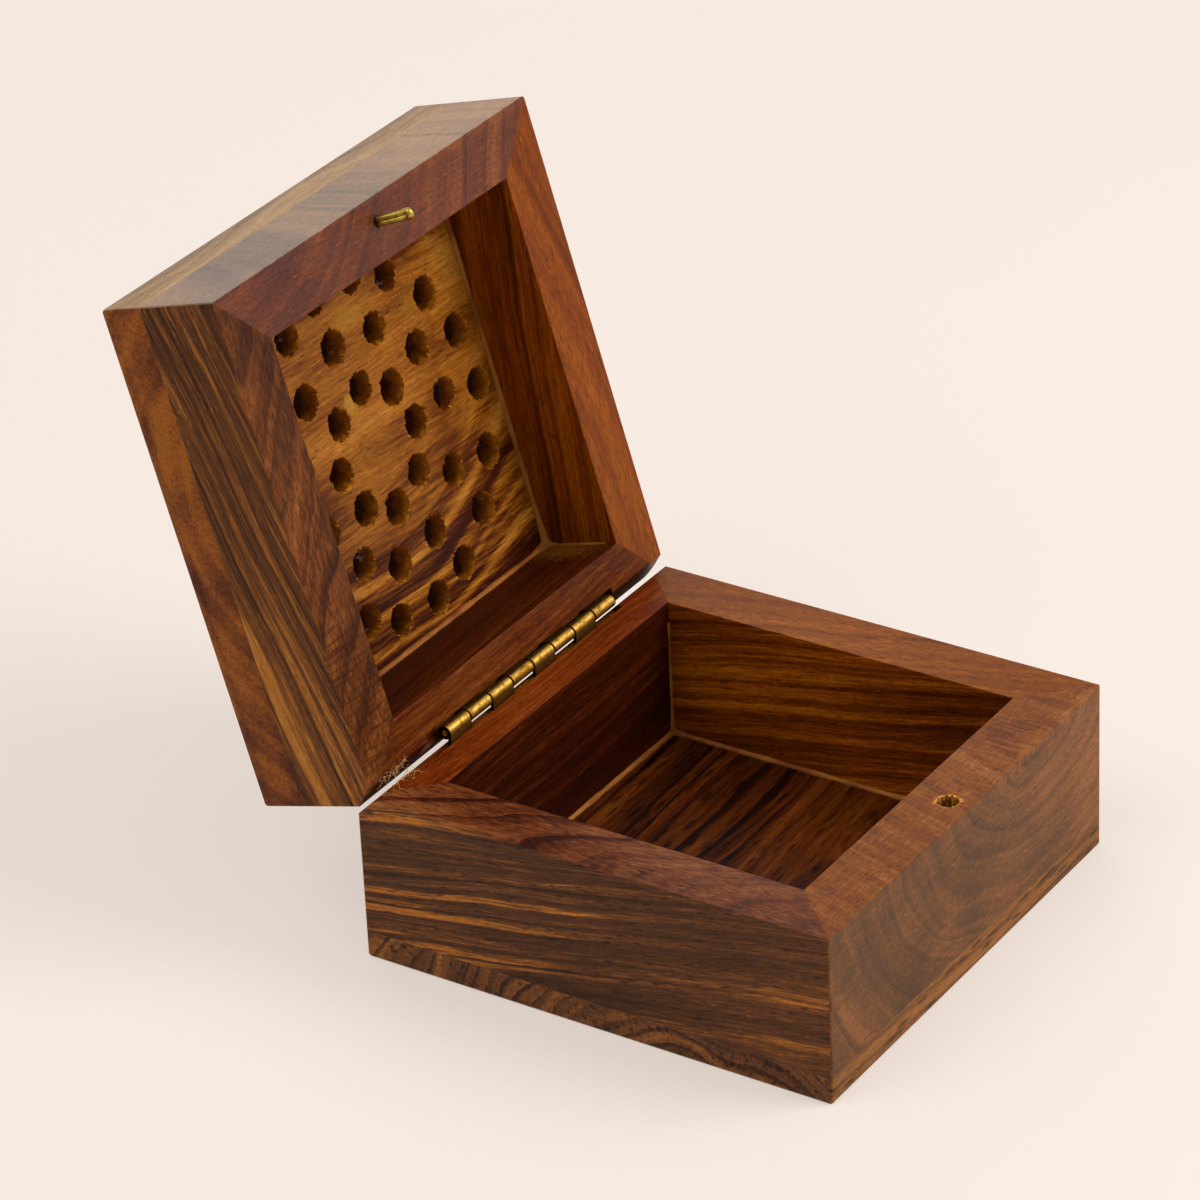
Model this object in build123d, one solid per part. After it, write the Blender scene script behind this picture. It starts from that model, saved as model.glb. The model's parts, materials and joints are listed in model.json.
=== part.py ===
from build123d import *
import math
import os

# Wooden keepsake box with a pierced lid, four inches square, in millimetres.
# X runs along the hinge, the catch is at the front on -Y, and Z is up.
# The origin is the middle of the underside, and the lid stands open.

# Wood
box_width = 101.6
box_depth = 101.6
rail_thickness = 12.2
bottom_board_thickness = 5.8
base_rail_height = 29.6
lid_rail_height = 17.4
top_board_thickness = 9.5
rim_gap = 0.1

# Rounded and worn edges
edge_radius = 0.7
worn_corner_radius = 2.6
back_chamfer = 4.1

# Hinge barrel and the groove that clears it
hinge_setback = 2.7
hinge_rise = 0.9
barrel_radius = 1.35
pin_radius = 0.6
tight_bore_clearance = 0.02
running_bore_clearance = 0.05
knuckle_count = 8
knuckle_pitch = 7.25
knuckle_play = 0.12
barrel_middle_x = 3.6
recess_clearance = 1.35
recess_overrun_left = 6.0
recess_overrun_right = 0.5
open_chamfer_gap = 0.85

# Nails that hold the hinge leaves
nail_radius = 0.6
nail_head_radius = 1.2
nail_head_thickness = 0.5
nail_head_sink = 0.1
nail_point_length = 1.4
nail_point_radius = 0.1
nail_point_cover = 3.2
nail_chamfer_margin = 0.7
nail_end_inset = 10.875
nails_per_leaf = 2
nail_clearance = 0.04

# Hinge leaves in their saw kerfs
leaf_thickness = 0.6
leaf_edge_past_nail = 2.0
leaf_notch_clearance = 0.75
kerf_clearance = 0.05

# Catch: a doubled wire in the lid that springs into a hole in the base
catch_wire_radius = 0.55
catch_strand_overlap = 0.1
catch_root_x = -0.9
catch_setback = 4.8
catch_lean_right = 1.8
catch_lean_front = 0.4
catch_reach = 7.8
catch_embedded = 8.5
catch_fit = 0.05
catch_hole_shift = 0.3
catch_hole_clearance = 0.36
catch_hole_bottom_gap = 2.2

# Rosette of holes drilled through the top board, set out by hand in three rings
piercing_radius = 3.6
piercing_mouth_radius = 4.4
piercing_mouth_depth = 4.7
inner_ring_radius = 12.4
outer_ring_margin = 5.2
ring_angles = [
    [0, 45, 90, 135, 180, 225, 270, 315],
    [-3, 35, 69, 101, 128, 158, 191, 226, 260, 293, 327],
    [2, 25, 45, 66, 84, 105, 122, 142, 162, 182, 202, 222, 242, 261, 281, 300, 321, 341],
]

# How far a cutting shape stands clear of what it cuts
cut_past = 1.0

# Places worked out from the sizes above
left_x = -box_width / 2
right_x = box_width / 2
front_y = -box_depth / 2
back_y = box_depth / 2
base_rim_z = bottom_board_thickness + base_rail_height
lid_rim_z = base_rim_z + rim_gap
lid_board_z = lid_rim_z + lid_rail_height
lid_top_z = lid_board_z + top_board_thickness
hinge_y = back_y - hinge_setback
hinge_z = base_rim_z + hinge_rise
barrel_length = knuckle_count * knuckle_pitch
barrel_start_x = barrel_middle_x - barrel_length / 2
barrel_end_x = barrel_middle_x + barrel_length / 2
nail_drop = hinge_rise + back_chamfer + nail_head_radius + nail_chamfer_margin
leaf_front_y = hinge_y - barrel_radius
leaf_notch = barrel_radius + leaf_notch_clearance
leaf_depth = nail_drop + nail_radius + leaf_edge_past_nail
strand_shift = catch_wire_radius - catch_strand_overlap / 2
catch_root_y = front_y + catch_setback
catch_hole_x = catch_root_x + catch_lean_right / 2 + catch_hole_shift
catch_hole_y = catch_root_y - catch_lean_front / 2
outer_ring_radius = min(box_width, box_depth) / 2 - rail_thickness - outer_ring_margin
ring_spacing = (outer_ring_radius - inner_ring_radius) / (len(ring_angles) - 1)


def lid_open_angle():
    """Degrees from closed to where the two back chamfers are open_chamfer_gap apart."""
    lid_edge_height = back_chamfer - (hinge_rise - rim_gap)
    edge_reach = math.hypot(hinge_setback, lid_edge_height)
    edge_closed = math.atan2(lid_edge_height, hinge_setback)
    chamfer_offset = open_chamfer_gap * math.sqrt(2) - (back_chamfer - hinge_setback + hinge_rise)
    edge_open = math.asin(chamfer_offset / (edge_reach * math.sqrt(2))) - math.pi / 4
    return math.degrees(edge_closed - edge_open)


def block(x_range, y_range, z_range):
    """A box between two corners."""
    size = [high - low for low, high in (x_range, y_range, z_range)]
    middle = [(high + low) / 2 for low, high in (x_range, y_range, z_range)]
    return Pos(*middle) * Box(*size)


def rod(start, end, radius):
    """A round bar between two points."""
    direction = Vector(*end) - Vector(*start)
    lower_end = (Align.CENTER, Align.CENTER, Align.MIN)
    return Plane(origin=start, z_dir=direction) * Cylinder(radius, direction.length, align=lower_end)


def along_hinge(start_x, end_x, radius):
    """A round bar on the hinge axis."""
    return rod((start_x, hinge_y, hinge_z), (end_x, hinge_y, hinge_z), radius)


def back_corner_prism(rim_z, direction):
    """The wood that the chamfer takes off the back edge, below or above a rim."""
    outline = Polyline(
        (back_y - back_chamfer, rim_z),
        (back_y + back_chamfer, rim_z),
        (back_y + back_chamfer, rim_z + 2 * direction * back_chamfer),
        close=True,
    )
    side_view = Plane(origin=(left_x - cut_past, 0, 0), x_dir=(0, 1, 0), z_dir=(1, 0, 0))
    return extrude(side_view * make_face(outline), box_width + 2 * cut_past)


def outside_form(rim_z, end_z):
    """The square outside of the base or the lid, from its rim to its far end."""
    low_z = min(rim_z, end_z)
    high_z = max(rim_z, end_z)
    form = block((left_x, right_x), (front_y, back_y), (low_z, high_z))
    uprights = form.edges().filter_by(Axis.Z)
    form = fillet(uprights.sort_by_distance((right_x, back_y, high_z))[0], worn_corner_radius)
    uprights = form.edges().filter_by(Axis.Z).sort_by_distance((right_x, back_y, high_z))
    end_face = form.faces().sort_by_distance((0, 0, end_z))[0]
    form = fillet(uprights[2:] + end_face.edges(), edge_radius)
    return form - back_corner_prism(rim_z, 1 if end_z > rim_z else -1)


def rail(form, side, low_z, high_z):
    """One side of a frame, cut from the outside form with a mitre at each end."""
    outer = {"left": left_x, "right": right_x, "front": front_y, "back": back_y}
    inner = {
        "left": left_x + rail_thickness,
        "right": right_x - rail_thickness,
        "front": front_y + rail_thickness,
        "back": back_y - rail_thickness,
    }
    if side in ("left", "right"):
        corners = [
            (outer[side], front_y),
            (outer[side], back_y),
            (inner[side], inner["back"]),
            (inner[side], inner["front"]),
        ]
    else:
        corners = [
            (left_x, outer[side]),
            (right_x, outer[side]),
            (inner["right"], inner[side]),
            (inner["left"], inner[side]),
        ]
    outline = make_face(Polyline(*corners, close=True))
    return form & extrude(Pos(0, 0, low_z) * outline, high_z - low_z)


def barrel_recess():
    """The round groove that both back rails have for the barrel."""
    start_x = barrel_start_x - recess_overrun_left
    end_x = barrel_end_x + recess_overrun_right
    return along_hinge(start_x, end_x, barrel_radius + recess_clearance)


def leaf_kerf(direction):
    """The stopped saw kerf that takes one leaf, below or above the axis."""
    deep_z = hinge_z + direction * (leaf_depth + kerf_clearance)
    return block(
        (barrel_start_x - kerf_clearance, barrel_end_x + kerf_clearance),
        (leaf_front_y - kerf_clearance, leaf_front_y + leaf_thickness + kerf_clearance),
        (min(hinge_z, deep_z), max(hinge_z, deep_z)),
    )


def nail_solid(x, z, head_y, growth):
    """A pointed nail lying along Y, with its head towards the back."""
    point_start = back_y - rail_thickness + nail_point_cover + nail_point_length
    head_start = back_y - nail_head_sink - nail_head_thickness - growth
    shank = rod((x, point_start, z), (x, head_y, z), nail_radius + growth)
    head = rod((x, head_start, z), (x, head_y, z), nail_head_radius + growth)
    point = Plane(origin=(x, point_start, z), z_dir=(0, -1, 0)) * Cone(
        nail_radius + growth,
        nail_point_radius + growth,
        nail_point_length + growth,
        align=(Align.CENTER, Align.CENTER, Align.MIN),
    )
    return shank + head + point


def nail_places(direction):
    """Where the nails through one leaf stand, below or above the axis."""
    first_x = barrel_start_x + nail_end_inset
    spacing = (barrel_length - 2 * nail_end_inset) / max(nails_per_leaf - 1, 1)
    z = hinge_z + direction * nail_drop
    return [(first_x + spacing * index, z) for index in range(nails_per_leaf)]


def nails(direction):
    """Small round nails driven in from the back, with their heads just under the surface."""
    return [nail_solid(x, z, back_y - nail_head_sink, 0) for x, z in nail_places(direction)]


def nail_holes(direction):
    """The holes that the nails leave in the rail and the leaf."""
    return [nail_solid(x, z, back_y + cut_past, nail_clearance) for x, z in nail_places(direction)]


def back_rail(form, direction, low_z, high_z):
    """A back rail with its barrel recess, leaf kerf and nail holes."""
    wood = rail(form, "back", low_z, high_z) - barrel_recess() - leaf_kerf(direction)
    for hole in nail_holes(direction):
        wood -= hole
    return wood


def hinge_leaf(first_knuckle, direction, bore_clearance):
    """A brass leaf with every second knuckle, hanging down or standing up."""
    leaf_y = (leaf_front_y, leaf_front_y + leaf_thickness)
    notch_z = hinge_z + direction * leaf_notch
    deep_z = hinge_z + direction * leaf_depth
    leaf = block((barrel_start_x, barrel_end_x), leaf_y, (min(notch_z, deep_z), max(notch_z, deep_z)))
    for index in range(first_knuckle, knuckle_count, 2):
        start_x = barrel_start_x + index * knuckle_pitch + knuckle_play / 2
        end_x = start_x + knuckle_pitch - knuckle_play
        leaf += block((start_x, end_x), leaf_y, (min(hinge_z, notch_z), max(hinge_z, notch_z)))
        leaf += along_hinge(start_x, end_x, barrel_radius)
    leaf -= along_hinge(barrel_start_x - cut_past, barrel_end_x + cut_past, pin_radius + bore_clearance)
    for hole in nail_holes(direction):
        leaf -= hole
    return leaf


def catch_strand(y_shift):
    """One leg of the doubled wire, with its bend at the rim and its rounded tip."""
    buried = (catch_root_x, catch_root_y + y_shift, lid_rim_z + catch_embedded)
    root = (catch_root_x, catch_root_y + y_shift, lid_rim_z)
    tip = (
        catch_root_x + catch_lean_right,
        catch_root_y + y_shift - catch_lean_front,
        lid_rim_z - catch_reach + catch_wire_radius,
    )
    legs = rod(buried, root, catch_wire_radius) + rod(root, tip, catch_wire_radius)
    bends = Pos(*root) * Sphere(catch_wire_radius) + Pos(*tip) * Sphere(catch_wire_radius)
    return legs + bends, tip


def catch_pin():
    """Both legs of the wire and the fold that joins them at the tip."""
    back_leg, back_tip = catch_strand(strand_shift)
    front_leg, front_tip = catch_strand(-strand_shift)
    return back_leg + front_leg + rod(front_tip, back_tip, catch_wire_radius)


def catch_pin_socket():
    """The drilled hole that the doubled wire is jammed into."""
    mouth = (catch_root_x, catch_root_y, lid_rim_z - cut_past)
    bottom = (catch_root_x, catch_root_y, lid_rim_z + catch_embedded + catch_fit)
    return rod(mouth, bottom, strand_shift + catch_wire_radius + catch_fit)


def catch_hole():
    """The drilled hole in the base that takes the wire, wide enough for its lean."""
    bottom = (catch_hole_x, catch_hole_y, lid_rim_z - catch_reach - catch_hole_bottom_gap)
    mouth = (catch_hole_x, catch_hole_y, base_rim_z + cut_past)
    wire_reach_x = catch_lean_right / 2 + catch_hole_shift
    wire_reach_y = catch_lean_front / 2 + strand_shift
    hole_radius = math.hypot(wire_reach_x, wire_reach_y) + catch_wire_radius + catch_hole_clearance
    return rod(bottom, mouth, hole_radius)


def piercing(x, y):
    """One hole through the top board, opening outwards like a funnel."""
    mouth_z = lid_top_z - piercing_mouth_depth
    drilled = rod((x, y, lid_board_z - cut_past), (x, y, mouth_z), piercing_radius)
    upward = (Align.CENTER, Align.CENTER, Align.MIN)
    mouth = Cone(piercing_radius, piercing_mouth_radius, piercing_mouth_depth, align=upward)
    return drilled + Pos(x, y, mouth_z) * mouth


def top_board(form):
    """The lid's board with its three rings of holes."""
    board = form & block((left_x, right_x), (front_y, back_y), (lid_board_z, lid_top_z))
    for ring, angles in enumerate(ring_angles):
        ring_radius = inner_ring_radius + ring * ring_spacing
        for angle in angles:
            x = ring_radius * math.cos(math.radians(angle))
            y = ring_radius * math.sin(math.radians(angle))
            board -= piercing(x, y)
    return board


def stand_open(closed_piece):
    """Turns a piece of the closed lid back to where the lid rests open."""
    return closed_piece.rotate(Axis((0, hinge_y, hinge_z), (1, 0, 0)), -lid_open_angle())


base_outside = outside_form(base_rim_z, 0)
lid_outside = outside_form(lid_rim_z, lid_top_z)

base_pieces = {
    "base_bottom_board": base_outside
    & block((left_x, right_x), (front_y, back_y), (0, bottom_board_thickness)),
    "base_left_rail": rail(base_outside, "left", bottom_board_thickness, base_rim_z),
    "base_right_rail": rail(base_outside, "right", bottom_board_thickness, base_rim_z),
    "base_front_rail": rail(base_outside, "front", bottom_board_thickness, base_rim_z) - catch_hole(),
    "base_back_rail": back_rail(base_outside, -1, bottom_board_thickness, base_rim_z),
    "hinge_base_leaf": hinge_leaf(0, -1, tight_bore_clearance),
    "hinge_pin": along_hinge(barrel_start_x + knuckle_play / 2, barrel_end_x - knuckle_play / 2, pin_radius),
    "base_hinge_nails": Compound(nails(-1)),
}

lid_pieces = {
    "lid_left_rail": rail(lid_outside, "left", lid_rim_z, lid_board_z),
    "lid_right_rail": rail(lid_outside, "right", lid_rim_z, lid_board_z),
    "lid_front_rail": rail(lid_outside, "front", lid_rim_z, lid_board_z) - catch_pin_socket(),
    "lid_back_rail": back_rail(lid_outside, 1, lid_rim_z, lid_board_z),
    "lid_top_board": top_board(lid_outside),
    "hinge_lid_leaf": hinge_leaf(1, 1, running_bore_clearance),
    "catch_pin": catch_pin(),
    "lid_hinge_nails": Compound(nails(1)),
}

os.makedirs("parts", exist_ok=True)

for name, piece in base_pieces.items():
    export_step(piece, f"parts/{name}.step")

for name, piece in lid_pieces.items():
    export_step(stand_open(piece), f"parts/{name}.step")

print(f"hinge axis y {hinge_y:.4f} z {hinge_z:.4f}")
print(f"lid opens {lid_open_angle():.3f} degrees")
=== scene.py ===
import json
import math
import bmesh
import bpy
import numpy as np
from mathutils import Matrix, Quaternion, Vector, noise
from mathutils.geometry import delaunay_2d_cdt


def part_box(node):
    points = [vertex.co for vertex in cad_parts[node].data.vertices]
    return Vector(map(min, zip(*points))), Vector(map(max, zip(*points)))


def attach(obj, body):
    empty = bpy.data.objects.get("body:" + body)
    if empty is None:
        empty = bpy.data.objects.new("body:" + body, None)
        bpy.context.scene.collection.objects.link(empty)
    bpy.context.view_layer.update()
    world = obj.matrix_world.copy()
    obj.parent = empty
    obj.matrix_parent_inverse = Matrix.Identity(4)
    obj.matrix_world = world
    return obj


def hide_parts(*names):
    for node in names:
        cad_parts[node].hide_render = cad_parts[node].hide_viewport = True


# Small square keepsake box of sheesham rosewood, standing open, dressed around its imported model.
# Metres, with X along the hinge, the catch at the front on -Y, Z up and the underside at zero.
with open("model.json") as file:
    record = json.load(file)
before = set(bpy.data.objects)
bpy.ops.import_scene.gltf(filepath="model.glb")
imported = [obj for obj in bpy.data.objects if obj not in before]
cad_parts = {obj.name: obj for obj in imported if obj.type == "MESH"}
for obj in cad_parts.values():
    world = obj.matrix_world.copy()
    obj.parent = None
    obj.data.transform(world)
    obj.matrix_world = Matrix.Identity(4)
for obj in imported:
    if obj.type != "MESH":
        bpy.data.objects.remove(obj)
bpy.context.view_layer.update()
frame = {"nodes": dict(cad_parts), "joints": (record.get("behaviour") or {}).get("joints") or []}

# BOTTOM BOARD
# A thin square of plain sawn sheesham with its grain along the hinge, glued up under the four rails.
# Its end grain shows as a mottled dark band on the left face, and its long grain is orange brown in front.
mm = 0.001
node = frame["nodes"]
hinge = frame["joints"][0]
hinge_line = Vector(hinge["pos_m"])
open_angle = math.radians(hinge["range_deg"][1])
eased_edge = 0.4
grain_relief = 0.06
ramp_places = (0.1, 0.36, 0.5, 0.64, 0.9)
half_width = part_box("base_bottom_board")[1].x / mm


def linear(colour):
    """An sRGB hex colour as the linear colour that a socket takes."""
    shares = [int(colour[i:i + 2], 16) / 255 for i in (0, 2, 4)]
    return [s / 12.92 if s <= 0.04045 else ((s + 0.055) / 1.055) ** 2.4 for s in shares] + [1.0]


def add(tree, kind, inputs, stops=(), **settings):
    """Adds a node with its settings and, on a colour ramp, its stops as places and colours. An input is a
    value, a socket, or a node whose first live output it takes. A shader node's kind has no prefix."""
    made = tree.nodes.new(kind if "Node" in kind else "ShaderNode" + kind)
    for name, value in settings.items():
        setattr(made, name, value)
    for index, (position, colour) in enumerate(stops):
        if index > 1:
            made.color_ramp.elements.new(1.0)
        made.color_ramp.elements[index].position = position
        made.color_ramp.elements[index].color = linear(colour)
    for key, value in inputs.items():
        if isinstance(value, bpy.types.Node):
            value = next(output for output in value.outputs if output.enabled)
        if isinstance(value, bpy.types.NodeSocket):
            tree.links.new(value, made.inputs[key])
        else:
            made.inputs[key].default_value = value
    return made


def blank(name):
    """A new material and its empty tree."""
    material = bpy.data.materials.new(name)
    material.use_nodes = True
    material.node_tree.nodes.clear()
    return material, material.node_tree


def finished(material, settings):
    """Ends a material's tree with a surface of the given settings."""
    shader = add(material.node_tree, "BsdfPrincipled", settings)
    add(material.node_tree, "OutputMaterial", {"Surface": shader})
    return material


def place_in_mm(tree, lid=False):
    """Where a point of the surface is, in millimetres, and for a piece of the lid with the lid shut."""
    place = add(tree, "TexCoord", {}).outputs["Object"]
    if lid:
        place = add(
            tree, "VectorRotate", {"Vector": place, "Center": hinge_line, "Angle": open_angle},
            rotation_type="X_AXIS",
        )
    return add(tree, "VectorMath", {0: place, "Scale": 1 / mm}, operation="SCALE")


def wandering(tree, settings):
    """Noise as a vector whose parts run from -0.5 to 0.5."""
    made = add(tree, "TexNoise", settings).outputs["Color"]
    return add(tree, "VectorMath", {0: made, 1: (0.5, 0.5, 0.5)}, operation="SUBTRACT")


def rosewood(
    name, grain, face, pith, ring, tones, lid=False, wander=1.0, oval=(1, 1, 0), streak=0.8, line=0.25,
    heart=0.4, middle=0.5, gold=(), bulge=(), sides=(), seed=0.0, rough=0.45, speckle=1.0, fibres=None,
    wax=0.12, sawn=None, glints=0.2, pore=(0.9, 0.4, 0.26), chips_and_painted_shade=(), calm=(), fine=0.74,
):
    """Sheesham, a rosewood sanded smooth and waxed to a low sheen, with dark and golden growth rings. They
    are solid, so they run round the corners of a piece. Grain is its direction, face the side it shows and
    pith a point on the heart of the tree, with the lid shut and in millimetres. Ring is the width of a
    year's growth, and fine the share of its thinnest bands. Wander bends the rings and oval flattens them.
    Streak, line, speckle and glints are the strength of the bands, of the line that ends a ring, of the
    fibres and of the bright flecks. Middle is the tone they swing round, and heart how far that drifts.
    Pore is the spacing, depth and size of the pores. Patches are listed by their middle, reach and
    strength: gold is paler, calm has a quieter figure, or below zero a stronger one, a bulge swells the
    rings, sawn keeps marks of the saw, and chips_and_painted_shade are ragged patches in another tone:
    wood that broke out, and painted shade. Sides are faces finished in another tone."""
    material, tree = blank(name)
    place = place_in_mm(tree, lid)
    facing = add(tree, "TexCoord", {}).outputs["Normal"]
    if lid:
        facing = add(tree, "VectorRotate", {"Vector": facing, "Angle": open_angle}, rotation_type="X_AXIS")

    def turned(direction, vector):
        """The vector seen with the direction as its Z and the face as its X."""
        along = Vector(direction).normalized()
        out = Vector(face) - Vector(face).dot(along) * along
        out.normalize()
        turn = Matrix((out, along.cross(out), along)).to_euler("XYZ")
        return add(tree, "Mapping", {"Vector": vector, "Rotation": turn})

    def cloud(vector, reach, detail=2.0, roughness=0.5, colour=False, shift=0.0):
        """Noise from -0.5 to 0.5 whose lumps measure reach, in millimetres."""
        scaled = add(tree, "Mapping", {
            "Vector": vector, "Scale": [1 / size for size in reach],
            "Location": (seed + shift, shift, seed),
        })
        settings = {"Vector": scaled, "Scale": 1.0, "Detail": detail, "Roughness": roughness}
        if colour:
            return wandering(tree, settings)
        return add(tree, "Math", {0: add(tree, "TexNoise", settings), 1: 0.5}, operation="SUBTRACT")

    def dots(vector, size, low, high, share):
        """Small spots in a share of cells of the given size, fading from the low to the high radius."""
        cells = add(tree, "VectorMath", {0: vector, 1: size}, operation="DIVIDE")
        cells = add(tree, "TexVoronoi", {"Vector": cells, "Scale": 1.0})
        made = add(
            tree, "MapRange", {"Value": cells.outputs["Distance"], "From Min": high, "From Max": low},
            interpolation_type="SMOOTHSTEP",
        )
        lot = add(tree, "SeparateColor", {"Color": cells.outputs["Color"]}).outputs["Red"]
        lot = add(tree, "Math", {0: lot, 1: share}, operation="LESS_THAN")
        return add(tree, "Math", {0: made, 1: lot}, operation="MULTIPLY")

    def away(centre, reach):
        """How far a point is from a place, as a share of the reach each way."""
        made = add(tree, "VectorMath", {0: place, 1: centre}, operation="SUBTRACT")
        made = add(tree, "VectorMath", {0: made, 1: reach}, operation="DIVIDE")
        return add(tree, "VectorMath", {0: made}, operation="LENGTH").outputs["Value"]

    def spot(centre, reach, gain, full=0.0):
        """A soft patch round a place, at its gain within the full share of its reach."""
        return add(
            tree, "MapRange",
            {"Value": away(centre, reach), "From Min": 1.0, "From Max": full, "To Max": gain},
            interpolation_type="SMOOTHSTEP",
        )

    def plus(value, share, rest):
        """The rest with a share of a pattern laid over it."""
        return add(tree, "Math", {0: value, 1: share, 2: rest}, operation="MULTIPLY_ADD")

    # The stem grows unevenly, so its rings wander over centimetres and waver over a few millimetres
    stem = turned(grain, add(tree, "VectorMath", {0: place, 1: pith}, operation="SUBTRACT"))
    drift = cloud(stem, (19, 19, 65), 1.0, 0.4, colour=True)
    waver = cloud(stem, (4, 4, 17), colour=True, shift=5.0)
    bent = add(
        tree, "VectorMath", {0: drift, 1: (wander * 6, wander * 6, 0), 2: stem}, operation="MULTIPLY_ADD"
    )
    bent = add(tree, "VectorMath", {0: waver, 1: (0.9, 0.9, 0), 2: bent}, operation="MULTIPLY_ADD")
    radius = add(tree, "VectorMath", {0: bent, 1: oval}, operation="MULTIPLY")
    radius = add(tree, "VectorMath", {0: radius}, operation="LENGTH").outputs["Value"]
    for centre, reach, push in bulge:
        radius = add(tree, "Math", {0: radius, 1: spot(centre, reach, push)}, operation="ADD")
    years = add(tree, "Math", {0: radius, 1: ring}, operation="DIVIDE")

    # Dark and golden bands, broad ones with fine ones in them, and a thin dark line where a ring ends
    bands = add(
        tree, "TexNoise", {"W": years, "Scale": 0.5, "Detail": 6.0, "Roughness": fine},
        noise_dimensions="1D",
    )
    bands = add(tree, "Math", {0: bands, 1: 0.5}, operation="SUBTRACT")
    year = add(tree, "Math", {0: years}, operation="FRACT")
    late = add(
        tree, "MapRange", {"Value": year, "From Min": 0.4, "From Max": 0.95},
        interpolation_type="SMOOTHERSTEP",
    )
    late = add(tree, "Math", {0: late, 1: 2.0}, operation="POWER")
    strength = add(tree, "TexNoise", {"W": years, "Scale": 0.31, "Detail": 1.0}, noise_dimensions="1D")
    strength = add(tree, "MapRange", {"Value": strength, "From Min": 0.35, "From Max": 0.62})
    late = add(tree, "Math", {0: late, 1: strength}, operation="MULTIPLY")
    dashes = cloud(bent, (0.9, 0.9, 20), 3.0, 0.65, shift=9.0)
    figure = plus(bands, 1.9 * streak, plus(dashes, 0.5 * streak, 0.0))
    figure = plus(late, -line, figure)
    for centre, reach, share in calm:
        quiet = add(tree, "Math", {0: 1.0, 1: spot(centre, reach, share, 0.4)}, operation="SUBTRACT")
        figure = add(tree, "Math", {0: figure, 1: quiet}, operation="MULTIPLY")
    tone = plus(dashes, 0.45 * streak, plus(figure, 1.0, middle))
    tone = plus(cloud(stem, (17, 17, 80), 1.0, shift=3.0), heart * 2, tone)
    for centre, reach, gain in gold:
        tone = add(tree, "Math", {0: tone, 1: spot(centre, reach, gain)}, operation="ADD")

    # Fibres, pores and bright flecks, drawn half a millimetre across where real ones are finer, to show
    thread = turned(fibres, place) if fibres else bent
    fibre = cloud(thread, (0.5, 0.5, 8), 3.0, 0.65)
    fleck = cloud(thread, (0.42, 0.42, 1.6), 1.0, 0.6, shift=4.0)
    pore_gap, pore_depth, pore_size = pore
    pores = dots(thread, (pore_gap, pore_gap, 4.6 * pore_gap), 0.4 * pore_size, pore_size, 0.8)
    tone = plus(fibre, 0.5 * speckle, tone)
    if glints:
        shine = dots(thread, (1.0, 1.0, 3.0), 0.05, 0.3, 0.3)
        tone = plus(shine, glints, tone)

    def palette(colours):
        """The tone as a colour, from the darkest of five to the palest."""
        return add(tree, "ValToRGB", {"Fac": tone}, stops=zip(ramp_places, colours))

    colour = palette(tones)
    for direction, side_tones in sides:
        # A side that was sawn and not sanded, or cut across the grain, takes the wax in another tone
        turned_to = add(tree, "VectorMath", {0: facing, 1: direction}, operation="DOT_PRODUCT")
        turned_to = add(
            tree, "MapRange", {"Value": turned_to.outputs["Value"], "From Min": 0.7, "From Max": 0.98}
        )
        colour = add(tree, "Mix", {0: turned_to, 6: colour, 7: palette(side_tones)}, data_type="RGBA")
    if sawn:
        # Marks of the saw across the rim, where it was not sanded away
        centre, reach, pitch, mark_tone, depth = sawn
        marks = add(
            tree, "VectorMath", {0: cloud(place, (7, 7, 7), colour=True), 1: (2, 2, 2), 2: place},
            operation="MULTIPLY_ADD",
        )
        marks = add(tree, "Mapping", {"Vector": marks, "Scale": [1 / size for size in pitch]})
        marks = add(tree, "TexNoise", {"Vector": marks, "Scale": 1.0, "Detail": 2.0, "Roughness": 0.6})
        marks = add(tree, "MapRange", {"Value": marks, "From Min": 0.5, "From Max": 0.6})
        marks = add(tree, "Math", {0: marks, 1: spot(centre, reach, depth, 0.4)}, operation="MULTIPLY")
        colour = add(tree, "Mix", {0: marks, 6: colour, 7: linear(mark_tone)}, data_type="RGBA")
    for centre, reach, chip_tone, soft in chips_and_painted_shade:
        # Ragged patches in another tone: wood that broke out, and painted shade
        broken = plus(cloud(place, (0.6, 0.6, 0.6), shift=7.0), 1.3, away(centre, reach))
        broken = add(
            tree, "MapRange", {"Value": broken, "From Min": 1.05, "From Max": 1.05 - soft},
            interpolation_type="SMOOTHSTEP",
        )
        colour = add(tree, "Mix", {0: broken, 6: colour, 7: linear(chip_tone)}, data_type="RGBA")
    shade = plus(fibre, 0.7 * speckle, 1.0)
    shade = plus(fleck, speckle, shade)
    shade = plus(pores, -pore_depth, shade)
    # Edges are eased with sandpaper and rounded in the shading, and the colour along them is lifted paler
    # as a painted highlight
    eased = add(tree, "Bevel", {"Radius": eased_edge * mm}, samples=4)
    true = add(tree, "NewGeometry", {}).outputs["True Normal"]
    edge = add(tree, "VectorMath", {0: eased, 1: true}, operation="DOT_PRODUCT").outputs["Value"]
    edge = add(tree, "MapRange", {"Value": edge, "From Min": 0.99, "From Max": 0.8, "To Max": 0.35})
    shade = add(tree, "Math", {0: shade, 1: edge}, operation="ADD")
    colour = add(tree, "VectorMath", {0: colour, "Scale": shade}, operation="SCALE")
    height = plus(pores, -0.8, fibre)
    bump = add(
        tree, "Bump", {"Height": height, "Distance": grain_relief * mm, "Strength": 0.6, "Normal": eased}
    )
    return finished(material, {
        "Base Color": colour, "Roughness": plus(fibre, 0.3, rough), "Specular IOR Level": wax,
        "Normal": bump,
    })


def dress(name, material):
    """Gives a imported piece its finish."""
    node[name].data.materials.clear()
    node[name].data.materials.append(material)


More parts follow.
